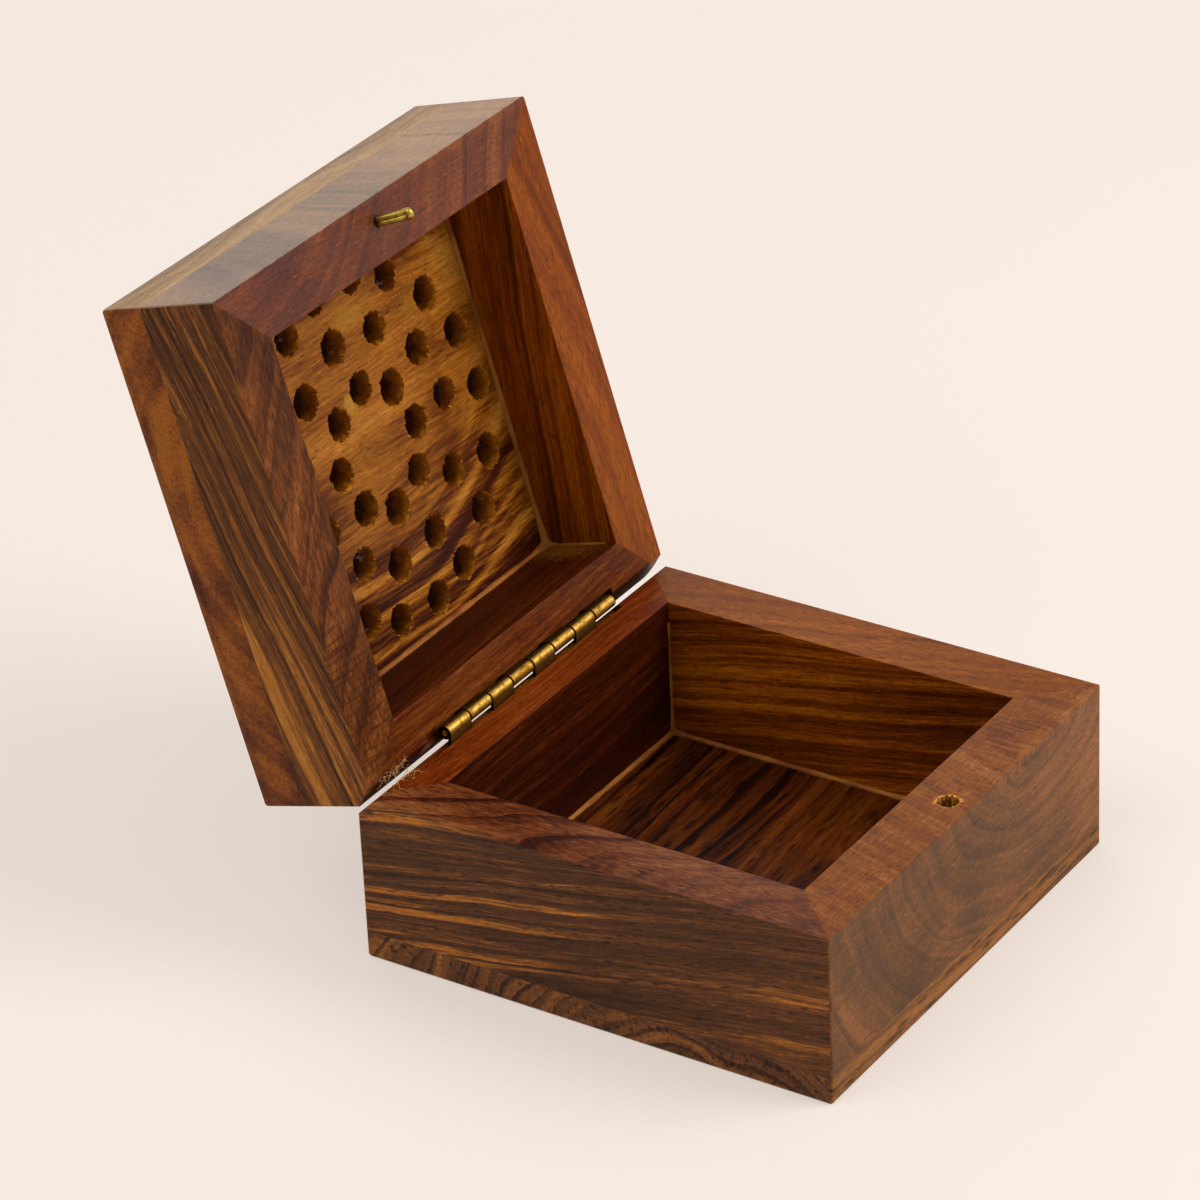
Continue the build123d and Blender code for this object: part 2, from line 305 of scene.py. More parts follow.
rim_up = (0, 0, 1)
rim_down = (0, 0, -1)
to_front = (0, -1, 0)
dress("base_bottom_board", rosewood(
    "sanded_sheesham_bottom_board", grain=(1, 0.03, 0), face=(0, 0, 1), pith=(0, -20, -38), ring=2.6,
    tones=("3c2010", "563419", "663b1e", "744420", "925a26"), wander=1.7, seed=3.1, glints=0, line=0.6,
    middle=0.55, pore=(1.6, 0.6, 0.42),
    sides=[
        (rim_up, ("1c0601", "3a1401", "4a1d01", "522201", "6a320a")),
        (to_front, ("5a330e", "714416", "7a4a1c", "84521f", "945c2a")),
    ],
))

# BASE RAILS
# Four lengths of one by half inch sheesham, mitred at the corners and glued edge up on the board.
# Outside they are sanded and waxed, and the sawn rim is redder, with the same rings running over it.
# The front one shows its rings as arcs, and wood has chipped from the mouth of its catch hole.
dress("base_left_rail", rosewood(
    "waxed_sheesham_base_left", grain=(0, -1, 0.19), face=(-1, 0, 0), pith=(-65.7, -12.3, -56.2), ring=2.3,
    tones=("341a04", "47270e", "522d13", "633816", "a25f1e"), wax=0.14,
    sides=[(rim_up, ("300c01", "54240a", "643012", "723e1a", "865030"))], pore=(1.1, 0.55, 0.28),
    gold=[
        ((-half_width, 48, 12), (30, 50, 9), 0.22), ((-half_width, 46, 34), (30, 30, 5), 0.2),
        ((-half_width, 24, 18), (30, 60, 40), 0.09),
    ],
    calm=[((-half_width, -44, 18), (30, 60, 40), 0.55), ((-half_width, 48, 12), (30, 60, 12), -0.5)],
    seed=1.3, middle=0.49, streak=0.85, speckle=1.2, line=0.4,
))
dress("base_front_rail", rosewood(
    "waxed_sheesham_base_front", grain=(0.2, 1, 0.3), face=(1, 0, 0), pith=(28, -50, 42), ring=4.2,
    tones=("462a12", "583618", "643c1a", "70421c", "865026"), wax=0.15,
    sides=[(rim_up, ("5a2a06", "6e3606", "783e08", "824912", "9a6434"))], seed=2.2, glints=0.3,
    oval=(0.72, 1, 0), fibres=(1, 0, 0.1), streak=0.7, line=0.3,
    sawn=((22, -45, 35.4), (36, 12, 3), (0.6, 20, 40), "8c5022", 0.6),
    gold=[((44, -half_width, 24), (44, 4, 30), 0.34)],
    chips_and_painted_shade=[
        ((0.3, -46.2, 35.4), (2.3, 2.4, 3), "a8661c", 0.15),
        ((-0.8, -44.4, 35.4), (0.9, 0.7, 2), "b87830", 0.25),
        ((1.5, -48.0, 35.4), (0.9, 0.8, 2), "b87830", 0.25),
        # Not a chip: the wall further down the catch hole, darkened as painted shade
        ((0.3, -46.2, 31.4), (3, 3, 3.2), "240c02", 0.5),
    ],
))
dress("base_right_rail", rosewood(
    "waxed_sheesham_base_right", grain=(0, -1, 0.2), face=(-1, 0, 0), pith=(0, 0, -70), ring=2.7,
    tones=("481a01", "662a02", "783605", "8c4506", "a85b08"),
    sides=[(rim_up, ("683006", "763b06", "7e4108", "88480a", "9c5a16"))], seed=5.2,
))
dress("base_back_rail", rosewood(
    "waxed_sheesham_base_back", grain=(1, 0, 0.04), face=(0, -1, 0), pith=(0, 90, -40), ring=2.2,
    tones=("260801", "340e01", "3b1201", "441601", "602a0c"), wax=0.1,
    sides=[(rim_up, ("4c1401", "5e1f01", "682601", "722e01", "844018"))], seed=4.4,
))

# GLUE LINES
# Wood glue that squeezed out of the joints inside the tray and the lid, caught sanding dust and dried tan.
# It stays as a thin uneven bead in each corner, thicker in the lid's far corner by the hinge.
inside = 38.6
tray_floor_z = 5.8
tray_rim_z = 35.4
lid_rim_z = 35.5
lid_ceiling_z = 52.9
level_stops = (0, 0.07, 0.93, 1)
upright_stops = (0, 0.2, 0.85)


def named_tree(name, inputs):
    """An empty tree and its inputs, each named with its first value or the kind of thing that it takes."""
    tree = bpy.data.node_groups.new(name, "GeometryNodeTree")
    kinds = {float: "Float", int: "Int", tuple: "Vector"}
    for label, value in inputs.items():
        kind = kinds.get(type(value), value)
        socket = tree.interface.new_socket(label, in_out="INPUT", socket_type=f"NodeSocket{kind}")
        if kind != value:
            socket.default_value = value
    tree.interface.new_socket("Geometry", in_out="OUTPUT", socket_type="NodeSocketGeometry")
    return tree, add(tree, "NodeGroupInput", {}).outputs


def tube(tree, line, radius, sides):
    """A closed tube swept along a line."""
    profile = add(tree, "GeometryNodeCurvePrimitiveCircle", {"Resolution": sides, "Radius": 1.0})
    inputs = {"Curve": line, "Profile Curve": profile, "Scale": radius, "Fill Caps": True}
    return add(tree, "GeometryNodeCurveToMesh", inputs)


def ended(tree, made, finish, part=True):
    """The tree, ended with what it made turned to plain geometry and its finish set on the given part."""
    made = add(tree, "GeometryNodeRealizeInstances", {"Geometry": made})
    made = add(tree, "GeometryNodeSetMaterial", {"Geometry": made, "Selection": part, "Material": finish})
    add(tree, "NodeGroupOutput", {"Geometry": made})
    return tree


def bead_tree():
    """A tree that lays an uneven bead of glue along each edge, as thick as its point attribute says."""
    tree, given = named_tree("glue_bead", {
        "Joints": "Geometry", "Radius": 0.7, "Unevenness": 1.0, "Step": 0.8, "Lump": 5.0,
        "Finish": "Material",
    })
    lines = add(tree, "GeometryNodeMeshToCurve", {"Mesh": given["Joints"]})
    lines = add(tree, "GeometryNodeResampleCurve", {"Curve": lines, "Length": given["Step"]}, mode="LENGTH")
    size = add(tree, "GeometryNodeInputNamedAttribute", {"Name": "size"})
    place = add(tree, "GeometryNodeInputPosition", {})
    lumps = add(tree, "VectorMath", {0: place, 1: given["Lump"]}, operation="DIVIDE")
    lumps = add(tree, "TexNoise", {"Vector": lumps, "Scale": 1.0, "Detail": 2.0, "Roughness": 0.6})
    lumps = add(tree, "Math", {0: lumps, 1: 0.5}, operation="SUBTRACT")
    lumps = add(tree, "Math", {0: lumps, 1: given["Unevenness"], 2: 1.0}, operation="MULTIPLY_ADD")
    radius = add(tree, "Math", {0: size, 1: given["Radius"]}, operation="MULTIPLY")
    radius = add(tree, "Math", {0: radius, 1: lumps}, operation="MULTIPLY")
    bead = add(tree, "GeometryNodeSetShadeSmooth", {"Geometry": tube(tree, lines, radius, 12)})
    return ended(tree, bead, given["Finish"])


def in_scene(name, data):
    """A new object of the given data, in the scene."""
    made = bpy.data.objects.new(name, data)
    bpy.context.scene.collection.objects.link(made)
    return made


def grown(name, start, tree, inputs):
    """Runs a tree on a mesh, with its inputs set by identifier, and keeps the result as a plain mesh."""
    holder = in_scene(name, start)
    modifier = holder.modifiers.new("tree", "NODES")
    modifier.node_group = tree
    for socket in tree.interface.items_tree:
        if socket.item_type == "SOCKET" and socket.in_out == "INPUT" and socket.name in inputs:
            modifier[socket.identifier] = inputs[socket.name]
    graph = bpy.context.evaluated_depsgraph_get()
    mesh = bpy.data.meshes.new_from_object(holder.evaluated_get(graph), depsgraph=graph)
    holder.modifiers.clear()
    holder.data = mesh
    return holder


def dried_glue():
    """Wood glue with sanding dust in it, dried dull and tan in blotches: a pale line along each joint."""
    material, tree = blank("dried_glue_and_dust")
    blotch = add(tree, "TexNoise", {"Vector": place_in_mm(tree), "Scale": 0.12, "Detail": 3.0})
    colour = add(tree, "ValToRGB", {"Fac": blotch}, stops=((0.36, "7c400a"), (0.62, "a46420")))
    return finished(material, {"Base Color": colour, "Roughness": 0.55, "Specular IOR Level": 0.2})


def joint_lines(flat_z, rim_z, thick):
    """The inner corners of the tray or of the lid as loose edges. A bead swells at its corners, as thick as
    they are given, and the upright ones thin out and stop short of the rim."""
    corners = [(-inside, -inside), (inside, -inside), (inside, inside), (-inside, inside)]
    points, sizes, edges = [], [], []
    for index, (x, y) in enumerate(corners):
        next_x, next_y = corners[(index + 1) % 4]
        for share in level_stops:
            points.append((x + (next_x - x) * share, y + (next_y - y) * share, flat_z))
            corner = index if share < 0.5 else (index + 1) % 4
            sizes.append(thick[corner] if share in (0, 1) else 1.0)
        last = len(points) - 1
        edges += [(last - 3, last - 2), (last - 2, last - 1), (last - 1, last)]
        for share in upright_stops:
            points.append((x, y, flat_z + (rim_z - flat_z) * share))
            sizes.append(thick[index] if share == 0 else 0.5)
        last = len(points) - 1
        edges += [(last - 2, last - 1), (last - 1, last)]
    mesh = bpy.data.meshes.new("joint_lines")
    mesh.from_pydata(points, edges, [])
    mesh.attributes.new("size", "FLOAT", "POINT").data.foreach_set("value", sizes)
    return mesh


glue = dried_glue()
bead = bead_tree()
tray_joints = joint_lines(tray_floor_z, tray_rim_z, (1, 1, 1.2, 1))
tray_glue = grown("tray_glue_line", tray_joints, bead, {"Finish": glue})
tray_glue.data.transform(Matrix.Scale(mm, 4))
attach(tray_glue, "base")

# LID RAILS
# Four narrower lengths of the same stock, mitred and glued under the board, with their rims sawn as the
# base's are. The front one is waxed more, so that it takes a grey sheen from the window, and its tones
# are paler and greyer, part of that sheen painted into its colour.
dress("lid_left_rail", rosewood(
    "waxed_sheesham_lid_left", grain=(0, -1, 0.2), face=(-1, 0, 0), pith=(-58.5, -8.1, -13.9), ring=2.6,
    tones=("301401", "462304", "58300c", "734010", "a06422"), lid=True, seed=6.7, glints=0.25,
    sides=[(rim_down, ("341204", "4e2406", "60300a", "703a10", "8c5426"))],
    gold=[((-half_width, 40, 44), (30, 50, 14), 0.2), ((-half_width, -50, 44), (30, 50, 20), -0.1)],
    sawn=((-45, 30, 35.5), (11, 28, 3), (24, 1.1, 40), "380f02", 0.6),
))
dress("lid_front_rail", rosewood(
    "waxed_sheesham_lid_front_painted_sheen", grain=(0, 0.2, 1), face=(0, -1, 0), pith=(-45, -95, 0), ring=6.0,
    # Paler, greyer tones: partly a painted sheen
    tones=("5f4329", "715334", "7e5b38", "8b6239", "9a6e42"), lid=True, seed=7.7, wax=0.35, rough=0.42,
    sides=[(rim_down, ("401000", "551d00", "602500", "692d01", "7c3f08"))],
    # A near-black patch round the root of the catch wire
    chips_and_painted_shade=[((-1.1, -46.1, 35.5), (1.5, 1.35, 1), "1a0801", 0.4)],
    gold=[((40, -half_width, 44), (60, 3, 30), 0.3)], fibres=(1, 0, 0.05), streak=0.7, line=0.35,
    glints=0.3,
))
dress("lid_right_rail", rosewood(
    "waxed_sheesham_lid_right", grain=(0, 1, 0.15), face=(-1, 0, 0), pith=(0, 0, -50), ring=4.0,
    tones=("441a01", "622801", "743303", "843f02", "9c5205"), lid=True, seed=8.2,
    sides=[(rim_down, ("642801", "733301", "7b3901", "833f01", "964e08"))],
))
dress("lid_back_rail", rosewood(
    "waxed_sheesham_lid_back", grain=(1, 0, 0.05), face=(0, -1, 0), pith=(0, 90, -40), ring=2.2,
    tones=("280901", "371001", "401401", "481801", "5e2809"), lid=True, seed=9.1, wax=0.1,
    sides=[(rim_down, ("400b01", "521c01", "5c2601", "662e03", "7c3f14"))],
    chips_and_painted_shade=[((39, 38.6, 48), (9, 2, 12), "7c4a16", 0.9)],
))


def open_up(mesh):
    """Turns a mesh made in millimetres with the lid shut to where the lid stands open, in metres."""
    turn = Matrix.Rotation(-open_angle, 4, "X")
    opened = Matrix.Translation(hinge_line) @ turn @ Matrix.Translation(-hinge_line)
    mesh.transform(opened @ Matrix.Scale(mm, 4))


lid_joints = joint_lines(lid_ceiling_z, lid_rim_z, (1, 1, 1.9, 1.2))
lid_glue = grown("lid_glue_line", lid_joints, bead, {"Finish": glue})
open_up(lid_glue.data)
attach(lid_glue, "lid")

# LID BOARD
# A thick square of plain sawn sheesham, carved outside with a lotus rosette inside a plain border, and
# drilled through by hand from outside in three rings, so that the holes break out ragged on the inner face.
board_top_z = 62.4
board_edge = 0.7
worn_corner = 2.6
ring_radii = (12.4, 22.9, 33.4)
ring_angles = (
    (0, 45, 90, 135, 180, 225, 270, 315),
    (-3, 35, 69, 101, 128, 158, 191, 226, 260, 293, 327),
    (2, 25, 45, 66, 84, 105, 122, 142, 162, 182, 202, 222, 242, 261, 281, 300, 321, 341),
)
carving_pitch = 0.5
inner_pitch = 1.7
net_margin = 1.1
edge_steps = 4
border_width = 5.6
ground_depth = 1.7
petal_height = 1.5
vein_depth = 0.4
flower_radius = 8.3
flower_height = 1.3
half_petal = 22.5
button_radius = 2.4
button_height = 1.6
leaf_reach = 14.5
leaf_height = 1.2
groove_depth = 0.6


def smooth(low, high, value):
    """A soft step from nought at low to one at high."""
    share = np.clip((value - low) / (high - low), 0, 1)
    return share * share * (3 - 2 * share)


def carving(x, y):
    """Height over the plain border of a lotus with a petal round each hole and a leaf in each corner."""
    reach = np.hypot(x, y)
    angle = np.degrees(np.arctan2(y, x))
    height = np.full(x.shape, -ground_depth)
    gap = ring_radii[1] - ring_radii[0]
    for radius, angles in zip(ring_radii, ring_angles):
        order = np.sort(np.array(angles) % 360)
        for index, middle in enumerate(order):
            before = (middle - order[index - 1]) % 360 / 2
            after = (order[(index + 1) % len(order)] - middle) % 360 / 2
            off = (angle - middle + 180) % 360 - 180
            side = np.where(off < 0, off / before, off / after)
            rise = (reach - radius + 0.3 * gap) / (0.85 * gap)
            width = np.clip(1 - np.abs(rise) ** 2.2, 0, 1) ** 0.6
            petal = width - np.abs(side)
            vein = np.exp(-(np.radians(off) * reach / 0.45) ** 2) * smooth(0.05, 0.5, rise)
            surface = -ground_depth + petal_height * smooth(0, 0.3, petal) - vein_depth * vein
            height = np.where(np.abs(off) < 60, np.maximum(height, surface), height)
    turn = (angle + half_petal) % (2 * half_petal) - half_petal
    flower = 1 - np.abs(turn) / half_petal - smooth(2.5, 8.0, reach) * 0.9
    flower = np.maximum(height, -ground_depth + flower_height * smooth(0, 0.5, flower))
    height = np.where(reach < flower_radius, flower, height)
    button = np.sqrt(np.clip(1 - (reach / button_radius) ** 2, 0, 1))
    height = np.where(reach < button_radius + 0.5, -ground_depth + button_height * button, height)
    along, across = np.abs(x), np.abs(y)
    inner = half_width - border_width
    corner = np.hypot(along - inner, across - inner)
    fan = np.degrees(np.arctan2(inner - across, inner - along))
    flute = 0.5 + 0.5 * np.cos(np.radians(fan * 8))
    rim = smooth(leaf_reach, leaf_reach - 2, corner + 2.5 * (1 - flute))
    leaf = -ground_depth + leaf_height * smooth(0, 0.4, flute) * rim
    height = np.where(reach > ring_radii[2] + 0.62 * gap, np.maximum(height, leaf), height)
    edge = np.maximum(along, across)
    groove = -groove_depth * np.exp(-((edge - inner - 1.5) / 0.35) ** 2)
    return np.where(edge > inner, groove, height * smooth(0, 0.5, inner - edge))


def rounded_square(inset, points=9):
    """The board's outline drawn in by inset: three small corners and the worn one at the back right."""
    outline = []
    for corner, (sx, sy) in enumerate(((1, 1), (-1, 1), (-1, -1), (1, -1))):
        radius = worn_corner if corner == 0 else board_edge
        middle = half_width - radius
        turn = max(radius - inset, 0.02)
        for step in range(points):
            angle = math.radians(90 * corner + 90 * step / (points - 1))
            outline.append((sx * middle + turn * math.cos(angle), sy * middle + turn * math.sin(angle)))
    return outline


def net(inset, pitch):
    """A flat net over the board: the points of its outline, drawn in by inset, then a grid inside it."""
    outline = rounded_square(inset)
    lines = np.arange(-half_width + net_margin, half_width - net_margin, pitch)
    worn = half_width - worn_corner
    grid = [(x, y) for x in lines for y in lines if not (x > worn and y > worn)]
    flat = [Vector(point) for point in outline + grid]
    points, edges, faces = delaunay_2d_cdt(flat, [], [list(range(len(outline)))], 1, 1e-5)[:3]
    return len(outline), np.array([tuple(point) for point in points]), faces


def carved_board():
    """The board as one closed mesh, not yet drilled."""
    count, tops, faces = net(board_edge, carving_pitch)
    heights = carving(tops[:, 0], tops[:, 1])
    vertices = [(x, y, board_top_z + h) for (x, y), h in zip(tops, heights)]
    faces = [tuple(face) for face in faces]
    firsts = [0]
    for step in range(1, edge_steps + 1):
        angle = math.radians(90 * step / edge_steps)
        z = board_top_z - board_edge * (1 - math.cos(angle))
        firsts.append(len(vertices))
        vertices += [(x, y, z) for x, y in rounded_square(board_edge * (1 - math.sin(angle)))]
    under, triangles = net(0, inner_pitch)[1:]
    firsts.append(len(vertices))
    vertices += [(x, y, lid_ceiling_z) for x, y in under]
    for upper, lower in zip(firsts, firsts[1:]):
        for index in range(count):
            after = (index + 1) % count
            faces.append((upper + index, lower + index, lower + after, upper + after))
    faces += [tuple(firsts[-1] + corner for corner in reversed(triangle)) for triangle in triangles]
    mesh = bpy.data.meshes.new("undrilled_board")
    mesh.from_pydata(vertices, [], faces)
    tidy = bmesh.new()
    tidy.from_mesh(mesh)
    bmesh.ops.triangulate(tidy, faces=[face for face in tidy.faces if len(face.verts) > 4])
    bmesh.ops.recalc_face_normals(tidy, faces=tidy.faces)
    tidy.to_mesh(mesh)
    tidy.free()
    return bpy.data.objects.new("undrilled_board", mesh)


def ragged_drill():
    """A tree that drills a funnel through the board at each of its points, torn where it breaks out."""
    tree, given = named_tree("ragged_piercings", {
        "Centres": "Geometry", "Board": "Object", "Radius": 3.5, "Mouth Radius": 3.95, "Mouth Start": 0.45,
        "Depth": 11.5, "Start": -1.0, "Wander": 0.9, "Tear": 3.7, "Tear Depth": 1.8, "Finish": "Material",
        "Drilled Finish": "Material",
    })
    low = add(tree, "CombineXYZ", {"Z": given["Start"]})
    high = add(tree, "CombineXYZ", {"Z": given["Depth"]})
    line = add(tree, "GeometryNodeCurvePrimitiveLine", {"Start": low, "End": high})
    line = add(tree, "GeometryNodeResampleCurve", {"Curve": line, "Count": 20})
    share = add(tree, "GeometryNodeSplineParameter", {})
    radius = add(tree, "MapRange", {
        "Value": share, "From Min": given["Mouth Start"], "To Min": given["Radius"],
        "To Max": given["Mouth Radius"],
    })
    drill = tube(tree, line, radius, 72)
    turn = add(
        tree, "FunctionNodeRandomValue", {0: (0, 0, 0), 1: (0.06, 0.06, 6.28), "Seed": 4},
        data_type="FLOAT_VECTOR",
    )
    size = add(tree, "FunctionNodeRandomValue", {2: 0.95, 3: 1.05, "Seed": 9})
    copies = add(
        tree, "GeometryNodeInstanceOnPoints",
        {"Points": given["Centres"], "Instance": drill, "Rotation": turn, "Scale": size},
    )
    copies = add(tree, "GeometryNodeRealizeInstances", {"Geometry": copies})
    place = add(tree, "GeometryNodeInputPosition", {})
    slow = wandering(tree, {"Vector": place, "Scale": 0.42, "Detail": 1.0})
    quick = wandering(tree, {"Vector": place, "Scale": 1.1, "Detail": 4.0, "Roughness": 0.8})
    above = add(tree, "SeparateXYZ", {"Vector": place}).outputs["Z"]
    above = add(tree, "Math", {0: above, 1: lid_ceiling_z}, operation="SUBTRACT")
    torn = add(tree, "MapRange", {
        "Value": above, "From Min": given["Tear Depth"], "From Max": 0.0, "To Min": 0.35,
        "To Max": given["Tear"],
    })
    slow = add(tree, "VectorMath", {0: slow, "Scale": given["Wander"]}, operation="SCALE")
    quick = add(tree, "VectorMath", {0: quick, "Scale": torn}, operation="SCALE")
    push = add(tree, "VectorMath", {0: slow, 1: quick}, operation="ADD")
    push = add(tree, "VectorMath", {0: push, 1: (1, 1, 0)}, operation="MULTIPLY")
    drills = add(tree, "GeometryNodeSetPosition", {"Geometry": copies, "Offset": push})
    drills = add(
        tree, "GeometryNodeStoreNamedAttribute", {"Geometry": drills, "Name": "drilled", "Value": True},
        data_type="BOOLEAN", domain="FACE",
    )
    drills = add(tree, "GeometryNodeSetMaterial", {"Geometry": drills, "Material": given["Drilled Finish"]})
    whole = add(tree, "GeometryNodeObjectInfo", {"Object": given["Board"]}).outputs["Geometry"]
    whole = add(tree, "GeometryNodeSetMaterial", {"Geometry": whole, "Material": given["Finish"]})
    cut = add(
        tree, "GeometryNodeMeshBoolean", {"Mesh 1": whole, "Mesh 2": drills},
        operation="DIFFERENCE", solver="MANIFOLD",
    )
    walls = add(tree, "GeometryNodeInputNamedAttribute", {"Name": "drilled"}, data_type="BOOLEAN")
    return ended(tree, cut, given["Drilled Finish"], part=walls)


def drilled_sheesham():
    """The wall of a drilled hole: dull end grain, golden at the inner face and darkened further in as
    painted shade, with a few drops of wax that glint."""
    material, tree = blank("drilled_sheesham_end_grain")
    place = place_in_mm(tree, lid=True)
    painted_depth_shade = add(tree, "SeparateXYZ", {"Vector": place}).outputs["Z"]
    blotch = add(tree, "TexNoise", {"Vector": place, "Scale": 0.55, "Detail": 3.0, "Roughness": 0.65})
    # Darker further from the inner face, a painted shade inside the hole
    painted_depth_shade = add(tree, "Math", {0: blotch, 1: -5.0, 2: painted_depth_shade}, operation="MULTIPLY_ADD")
    painted_depth_shade = add(tree, "MapRange", {"Value": painted_depth_shade, "From Min": 50.1, "From Max": 55.0})
    colour = add(tree, "ValToRGB", {"Fac": painted_depth_shade}, stops=((0.0, "c87c1c"), (0.4, "8c4c0a"), (1.0, "3c1803")))
    drops = add(tree, "TexNoise", {"Vector": place, "Scale": 0.21, "Detail": 1.0})
    drops = add(tree, "Math", {0: blotch, 1: drops}, operation="ADD")
    drops = add(tree, "MapRange", {"Value": drops, "From Min": 1.24, "From Max": 1.27})
    bump = add(tree, "Bump", {"Height": blotch, "Distance": 0.3 * mm, "Strength": 0.7})
    return finished(material, {
        "Base Color": colour, "Roughness": 0.7, "Specular IOR Level": 0.03, "Normal": bump,
        "Coat Weight": drops, "Coat Roughness": 0.05, "Coat Normal": bump,
    })


def inner_face(*patches):
    """Patches of the inner face, each given by its middle, its reach both ways and its strength."""
    return [((x, y, lid_ceiling_z), (across, along, 4), share) for x, y, across, along, share in patches]


board_finish = rosewood(
    "waxed_sheesham_lid_board", grain=(1, 0.02, 0.02), face=(0, 0, -1), pith=(0, -8, 15), ring=2.9,
    tones=("431402", "592706", "663107", "743b09", "8c4c0d"), lid=True, seed=2.9, wander=1.1, line=0.12,
    sides=[
        (rim_down, ("380e01", "683204", "8a4e0e", "9e5d16", "b87a2c")),
        # The front edge's pale, greyish tones are a painted sheen
        (to_front, ("745424", "85643a", "906c45", "9a7548", "aa8454")),
    ],
    glints=0.12, streak=0.9, speckle=0.9, heart=0.9, fine=0.42,
    bulge=[
        ((-6, -16, lid_ceiling_z), (60, 70, 40), -14), ((-22, -54, 60), (34, 14, 14), 7),
        ((46, 12, lid_ceiling_z), (50, 50, 14), 6),
    ],
    calm=[
        *inner_face((0, -12, 48, 42, 0.8), (0, 42, 90, 34, -0.85)),
        ((-half_width, 0, 58), (7, 90, 14), 0.3),
    ],
    gold=[
        *inner_face(
            (-4, -18, 52, 14, -0.3), (34, 2, 18, 15, 0.28), (22, -28, 20, 14, -0.3),
            (-36, -20, 14, 10, -0.3), (14, 2, 8, 10, 0.2), (-6, 44, 70, 30, -0.75), (26, 28, 22, 12, -0.2),
            (2, 16, 60, 13, -0.4), (-24, 2, 18, 24, -0.3), (22, 14, 14, 12, -0.12), (42, 38, 20, 22, -0.3),
        ),
        # The first patch darkens the board at the level of the carving's sunk ground, a painted shade in
        # its recesses
        ((0, 0, 60.5), (90, 90, 1.2), -0.5), ((-half_width, 0, 58), (3, 90, 14), 0.02),
    ],
    chips_and_painted_shade=[
        ((-3.9, -11, lid_ceiling_z), (2.6, 2.6, 2), "a87424", 0.6),
        ((3, -26, lid_ceiling_z), (7, 3.2, 2), "9c6618", 0.9),
        ((22, -21, lid_ceiling_z), (7, 4, 2), "8e5810", 0.9),
    ],
)
undrilled = carved_board()
centres = bpy.data.meshes.new("hole_centres")
centres.from_pydata([
    (radius * math.cos(math.radians(angle)), radius * math.sin(math.radians(angle)), lid_ceiling_z)
    for radius, angles in zip(ring_radii, ring_angles) for angle in angles
], [], [])
carved = grown("carved_top_board", centres, ragged_drill(), {
    "Board": undrilled, "Finish": board_finish, "Drilled Finish": drilled_sheesham(),
})
bpy.data.objects.remove(undrilled)
open_up(carved.data)
carved.data.shade_smooth()
carved.data.set_sharp_from_angle(angle=math.radians(38))
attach(carved, "lid")
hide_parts("lid_top_board")

# HINGE
# A small piano hinge of thin brass sheet, each leaf rolled into four knuckles round a brass pin, let into a
# saw kerf and nailed through from the back. It is rubbed bright, and darker at the ends of its knuckles.
leaf_low, leaf_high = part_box("hinge_base_leaf")
knuckles = 8
knuckle_pitch = (leaf_high.x - leaf_low.x) / mm / knuckles


def brass(name, dull, bright, lumps, smooth_to, darkened_ends=False):
    """Brass rubbed bright and smooth between spots that have dulled, with lumps of the given size."""
    material, tree = blank(name)
    place = place_in_mm(tree)
    spots = add(tree, "TexNoise", {"Vector": place, "Scale": 1 / lumps, "Detail": 4.0, "Roughness": 0.6})
    tarnish = add(tree, "MapRange", {"Value": spots, "From Min": 0.38, "From Max": 0.56})
    colour = add(tree, "Mix", {0: tarnish, 6: linear(dull), 7: linear(bright)}, data_type="RGBA")
    rough = add(tree, "MapRange", {
        "Value": spots, "From Min": 0.35, "From Max": 0.65, "To Min": 0.5, "To Max": smooth_to,
    })
    height = spots
    if darkened_ends:
        # Darker, and with a rolled edge, at both ends of each knuckle
        along = add(tree, "SeparateXYZ", {"Vector": place}).outputs["X"]
        along = add(tree, "Math", {0: along, 1: leaf_low.x / mm}, operation="SUBTRACT")
        along = add(tree, "Math", {0: along, 1: knuckle_pitch}, operation="DIVIDE")
        end = add(tree, "Math", {0: along}, operation="FRACT")
        end = add(tree, "Math", {0: end, 1: 0.5}, operation="PINGPONG")
        end = add(tree, "Math", {0: end, 1: knuckle_pitch}, operation="MULTIPLY")
        away_from_ends = add(
            tree, "MapRange", {"Value": end, "From Min": 0.14, "From Max": 0.34},
            interpolation_type="SMOOTHSTEP",
        )
        colour = add(tree, "Mix", {0: away_from_ends, 6: linear("201404"), 7: colour}, data_type="RGBA")
        height = add(tree, "Math", {0: away_from_ends, 1: 3.0, 2: spots}, operation="MULTIPLY_ADD")
    bump = add(tree, "Bump", {"Height": height, "Distance": 0.04 * mm, "Strength": 0.8})
    return finished(material, {"Base Color": colour, "Metallic": 1.0, "Roughness": rough, "Normal": bump})


rolled_brass = brass("rolled_brass_sheet", "9a6a1e", "e8b452", 1.6, 0.3, darkened_ends=True)
for name in ("hinge_base_leaf", "hinge_lid_leaf"):
    dress(name, rolled_brass)
nail_brass = brass("drawn_brass_nails_and_pin", "7c5416", "c89a40", 0.8, 0.35)
for name in ("hinge_pin", "base_hinge_nails", "lid_hinge_nails"):
    dress(name, nail_brass)

